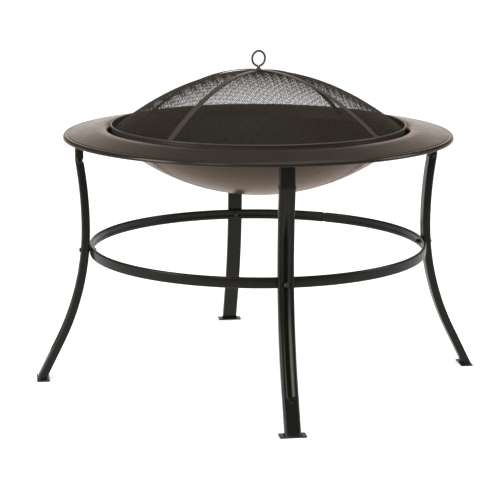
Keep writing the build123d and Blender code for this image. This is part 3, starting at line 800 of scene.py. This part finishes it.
def make_lift_ring(paint):
    """A wire bent to an eye with its ends meeting over a flared neck, and the stud below."""
    radius = (EYE_TOP - EYE_BOTTOM - LIFT_WIRE) / 2
    centre = Vector((0, 0, EYE_BOTTOM + LIFT_WIRE / 2 + radius))
    across = Vector((math.cos(LIFT_YAW), math.sin(LIFT_YAW), 0))
    loop = []
    for i in range(EYE_STEPS + 1):
        a = -math.pi / 2 + EYE_GAP / 2 + (math.tau - EYE_GAP) * i / EYE_STEPS
        loop.append(centre + across * radius * math.cos(a) + Vector((0, 0, radius * math.sin(a))))
    flare, flare_edge = NECK_FLARE
    neck_corners = [(r, EYE_BOTTOM + up) for r, up in NECK_STEM]
    neck_corners += [(flare, NECK_BOTTOM + flare_edge), (flare, NECK_BOTTOM)]
    neck_corners.append((OFF_AXIS, NECK_BOTTOM))
    neck = filleted(neck_corners, NECK_BENDS, steps=5)
    thick = LIFT_WIRE / 2
    stud = [
        (OFF_AXIS, NECK_BOTTOM),
        (thick, NECK_BOTTOM),
        (thick, EYE_LOW.z + STUD_CHAMFER),
        (thick - STUD_CHAMFER, EYE_LOW.z),
        (OFF_AXIS, EYE_LOW.z),
    ]
    parts = [tube(loop, thick, sides=16), turned(neck, segments=40), turned(stud, segments=24)]
    vertices, faces = joined(parts)
    eye = piece("lift_eye", vertices, faces, "spark_screen", paint, sharp=45)
    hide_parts("lift_ring")


# ---- materials ------------------------------------------------------------------------------


class Nodes:
    """Short calls for building the node tree of a material or the world."""

    def __init__(self, owner, place="Object"):
        owner.use_nodes = True
        self.tree = owner.node_tree
        self.tree.nodes.clear()
        self.place = self.add("ShaderNodeTexCoord").outputs[place]

    def add(self, kind, **settings):
        node = self.tree.nodes.new(kind)
        for key, value in settings.items():
            setattr(node, key, value)
        return node

    def join(self, source, target):
        self.tree.links.new(source, target)

    def noise(self, scale, detail, roughness):
        node = self.add("ShaderNodeTexNoise")
        node.inputs["Scale"].default_value = scale
        node.inputs["Detail"].default_value = detail
        node.inputs["Roughness"].default_value = roughness
        self.join(self.place, node.inputs["Vector"])
        return node.outputs["Fac"]

    def ramp(self, value, low, high, start=0.3, end=0.7, kind="LINEAR"):
        """A number from low to high as value goes from start to end."""
        node = self.add("ShaderNodeMapRange", interpolation_type=kind)
        sockets = ("To Min", "To Max", "From Min", "From Max")
        for socket, number in zip(sockets, (low, high, start, end)):
            node.inputs[socket].default_value = number
        self.join(value, node.inputs["Value"])
        return node.outputs["Result"]

    def math(self, operation, *values):
        node = self.add("ShaderNodeMath", operation=operation)
        for socket, value in zip(node.inputs, values):
            self.join(value, socket)
        return node.outputs["Value"]

    def mix(self, factor, first, second):
        """A colour between two, each of them a tuple or a socket."""
        node = self.add("ShaderNodeMix", data_type="RGBA")
        self.join(factor, node.inputs["Factor"])
        for socket, colour in ((node.inputs["A"], first), (node.inputs["B"], second)):
            if isinstance(colour, tuple):
                socket.default_value = (*colour, 1)
            else:
                self.join(colour, socket)
        return node.outputs["Result"]

    def bump(self, height, distance, strength, normal=None):
        node = self.add("ShaderNodeBump")
        node.inputs["Distance"].default_value = distance
        node.inputs["Strength"].default_value = strength
        self.join(height, node.inputs["Height"])
        if normal:
            self.join(normal, node.inputs["Normal"])
        return node.outputs["Normal"]

    def switch(self, flag, off, on):
        """One of two shader nodes, by a flag that is 0 or 1."""
        node = self.add("ShaderNodeMixShader")
        for socket, source in zip(node.inputs, (flag, off.outputs[0], on.outputs[0])):
            self.join(source, socket)
        return node

    def show(self, shader, output="ShaderNodeOutputMaterial"):
        self.join(shader.outputs[0], self.add(output).inputs["Surface"])


def painted(name, colour, wear, roughness, grain, metallic=0.0, specular=0.5, tint=(1, 1, 1)):
    """Stoved paint with slight mottling, orange peel, a fine grain and lighter worn edges."""
    material = bpy.data.materials.new(name)
    n = Nodes(material)
    lifted = tuple(c * MOTTLE_LIFT for c in colour)
    mottled = n.mix(n.ramp(n.noise(*MOTTLE_NOISE), 0, 1), colour, lifted)
    edges = n.add("ShaderNodeNewGeometry").outputs["Pointiness"]
    worn = n.ramp(edges, 0, WEAR_SHARE, *WEAR_EDGES)
    patches = n.ramp(n.noise(*WEAR_NOISE), 0, 1, *WEAR_PATCHES)
    smoothest, roughest = (roughness + spread for spread in SHEEN_SPREAD)
    shader = n.add("ShaderNodeBsdfPrincipled")
    inputs = shader.inputs
    n.join(n.mix(n.math("MULTIPLY", worn, patches), mottled, wear), inputs["Base Color"])
    n.join(n.ramp(n.noise(*SHEEN_NOISE), smoothest, roughest), inputs["Roughness"])
    if grain > 0:
        peel = n.bump(n.noise(*PEEL_NOISE), PEEL_DEPTH, grain)
        fine = n.bump(n.noise(*GRAIN_NOISE), GRAIN_DEPTH, GRAIN_STRENGTH * grain, peel)
        n.join(fine, inputs["Normal"])
    inputs["Metallic"].default_value = metallic
    inputs["Specular IOR Level"].default_value = specular
    inputs["Specular Tint"].default_value = (*tint, 1)
    n.show(shader)
    return material


def make_materials():
    return {
        "bowl": painted(
            "bowl_paint",
            colour=(0.041, 0.036, 0.030),
            wear=(0.16, 0.12, 0.10),
            roughness=0.20,
            grain=0.0,
            metallic=0.6,
            specular=0.2,
            tint=(1, 0.80, 0.66),
        ),
        # Darker, rougher paint for the inside of the dish: painted shade under the screen.
        "inside": painted(
            "bowl_inside_painted_shade",
            colour=(0.016, 0.013, 0.011),
            wear=(0.03, 0.025, 0.02),
            roughness=0.5,
            grain=0.3,
            specular=0.2,
        ),
        "frame": painted(
            "frame_paint",
            colour=(0.009, 0.0085, 0.0065),
            wear=(0.07, 0.065, 0.06),
            roughness=0.22,
            grain=0.15,
            specular=0.28,
            tint=(1, 0.95, 0.88),
        ),
        "screen": painted(
            "screen_paint",
            colour=(0.046, 0.038, 0.031),
            wear=(0.10, 0.09, 0.08),
            roughness=0.30,
            grain=0.15,
            tint=(1, 0.9, 0.8),
        ),
        "mesh": painted(
            "mesh_paint",
            colour=(0.040, 0.032, 0.023),
            wear=(0.06, 0.05, 0.04),
            roughness=0.45,
            grain=0.0,
            specular=0.3,
            tint=(1, 0.82, 0.68),
        ),
        "fastener": painted(
            "fastener_steel",
            colour=(0.06, 0.058, 0.055),
            wear=(0.30, 0.29, 0.28),
            roughness=0.34,
            grain=0.3,
            metallic=0.8,
        ),
        "grate": painted(
            "grate_paint",
            colour=(0.022, 0.020, 0.019),
            wear=(0.08, 0.07, 0.06),
            roughness=0.62,
            grain=0.6,
        ),
    }


def dress_cad(nodes, material):
    """Finish and soft edges for the pieces that are shown as the frame has them."""
    for name in nodes:
        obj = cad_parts[name]
        obj.data.materials.clear()
        obj.data.materials.append(material)
        weld = obj.modifiers.new("weld", "WELD")
        weld.merge_threshold = CAD_WELD
        bevel = obj.modifiers.new("soft_edges", "BEVEL")
        bevel.width = CAD_EDGE
        bevel.segments = CAD_EDGE_SEGMENTS
        bevel.limit_method = "ANGLE"
        bevel.angle_limit = CAD_EDGE_ANGLE
        bevel.harden_normals = False


# ---- stage ----------------------------------------------------------------------------------


def make_floor():
    """Pale floor that shows white to the camera and keeps the object's soft shadow.

    Reflections see it evenly lit, and darker in front of the object.
    """
    mesh = bpy.data.meshes.new("floor")
    reach = FLOOR_REACH
    corners = [(-reach, -reach, 0), (reach, -reach, 0), (reach, reach, 0), (-reach, reach, 0)]
    mesh.from_pydata(corners, [], [(0, 1, 2, 3)])
    floor = bpy.data.objects.new("floor", mesh)
    bpy.context.scene.collection.objects.link(floor)
    material = bpy.data.materials.new("floor_white")
    n = Nodes(material)
    path = n.add("ShaderNodeLightPath").outputs
    diffuse = n.add("ShaderNodeBsdfDiffuse")
    diffuse.inputs["Color"].default_value = (*FLOOR_COLOUR, 1)
    glow = n.add("ShaderNodeEmission")
    glow.inputs["Strength"].default_value = FLOOR_GLOW
    lit = n.add("ShaderNodeAddShader")
    n.join(diffuse.outputs[0], lit.inputs[0])
    n.join(glow.outputs[0], lit.inputs[1])
    axes = n.add("ShaderNodeSeparateXYZ")
    n.join(n.place, axes.inputs[0])
    sheen = n.add("ShaderNodeEmission")
    n.join(n.ramp(axes.outputs["Y"], *FLOOR_FADE, "SMOOTHSTEP"), sheen.inputs["Strength"])
    plain = n.switch(path["Is Camera Ray"], diffuse, lit)
    n.show(n.switch(path["Is Glossy Ray"], plain, sheen))
    mesh.materials.append(material)


def make_world():
    """White to the camera and where light passes through; otherwise an even light.

    Reflections see a backdrop that is brightest behind the bowl.
    """
    world = bpy.data.worlds.new("studio")
    bpy.context.scene.world = world
    n = Nodes(world, "Generated")

    def background(colour, strength):
        node = n.add("ShaderNodeBackground")
        node.inputs["Color"].default_value = (*colour, 1)
        node.inputs["Strength"].default_value = strength
        return node

    turn, rise = BACKDROP_CENTRE
    level = math.cos(rise)
    centre = (math.cos(turn) * level, math.sin(turn) * level, math.sin(rise))
    nearness = n.add("ShaderNodeVectorMath", operation="DOT_PRODUCT")
    n.join(n.place, nearness.inputs[0])
    nearness.inputs[1].default_value = centre
    angle = n.math("ARCCOSINE", nearness.outputs["Value"])
    backdrop = background((1, 1, 1), 1.0)
    n.join(n.ramp(angle, *BACKDROP_FADE, "SMOOTHSTEP"), backdrop.inputs["Strength"])
    path = n.add("ShaderNodeLightPath").outputs
    light = n.switch(path["Is Glossy Ray"], background(WORLD_COLOUR, WORLD_LIGHT), backdrop)
    seen = n.math("MAXIMUM", path["Is Camera Ray"], path["Is Transmission Ray"])
    white = background((1, 1, 1), 1.0)
    n.show(n.switch(seen, light, white), "ShaderNodeOutputWorld")


def add_softbox(name, position, aim, size, power):
    """A rectangular area light that faces its aim."""
    lamp = bpy.data.lights.new(name, "AREA")
    lamp.shape = "RECTANGLE"
    lamp.size, lamp.size_y = size
    lamp.energy = power
    obj = bpy.data.objects.new(name, lamp)
    obj.location = position
    obj.rotation_euler = (Vector(aim) - Vector(position)).to_track_quat("-Z", "Y").to_euler()
    bpy.context.scene.collection.objects.link(obj)


def make_camera():
    """The photograph's angle, as a long lens from a distance."""
    data = bpy.data.cameras.new("camera")
    data.lens = CAMERA_LENS
    data.sensor_width = CAMERA_SENSOR
    data.shift_x, data.shift_y = CAMERA_SHIFT
    camera = bpy.data.objects.new("camera", data)
    level, rise = math.cos(CAMERA_ELEVATION), math.sin(CAMERA_ELEVATION)
    ahead, aside = math.cos(CAMERA_AZIMUTH), math.sin(CAMERA_AZIMUTH)
    direction = Vector((level * ahead, level * aside, rise))
    camera.location = CAMERA_AIM + direction * CAMERA_DISTANCE
    look = (-direction).to_track_quat("-Z", "Y") @ Quaternion((0, 0, 1), CAMERA_ROLL)
    camera.rotation_euler = look.to_euler()
    bpy.context.scene.collection.objects.link(camera)
    bpy.context.scene.camera = camera


# ---- the scene ------------------------------------------------------------------------------

materials = make_materials()
make_camera()
make_world()
make_floor()
for name, settings in SOFTBOXES.items():
    add_softbox(name, *settings)
make_bowl(materials["bowl"], materials["inside"])
make_legs(materials["frame"])
make_feet(materials["frame"])
make_foot_welds(materials["frame"])
make_bracket_welds(materials["frame"])
make_ring(materials["frame"])
make_band(materials["screen"])
make_mesh(materials["mesh"])
make_strap(
    "dome_strap_lower", "screen_strap_lower", LOWER_STRAP_TOP, LOWER_STRAP_YAW, materials["screen"]
)
make_strap(
    "dome_strap_upper", "screen_strap_upper", UPPER_STRAP_TOP, UPPER_STRAP_YAW, materials["screen"]
)
make_lift_ring(materials["screen"])
dress_cad([*(f"rim_bracket_{side}" for side in SIDES), "ring_sleeve"], materials["frame"])
dress_cad(
    ["rim_screws", "rim_nuts", "ring_screws", "ring_nuts", "lift_washer", "lift_nut"],
    materials["fastener"],
)
dress_cad([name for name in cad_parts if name.startswith("grate_")], materials["grate"])

bpy.context.scene.view_settings.view_transform = "Standard"
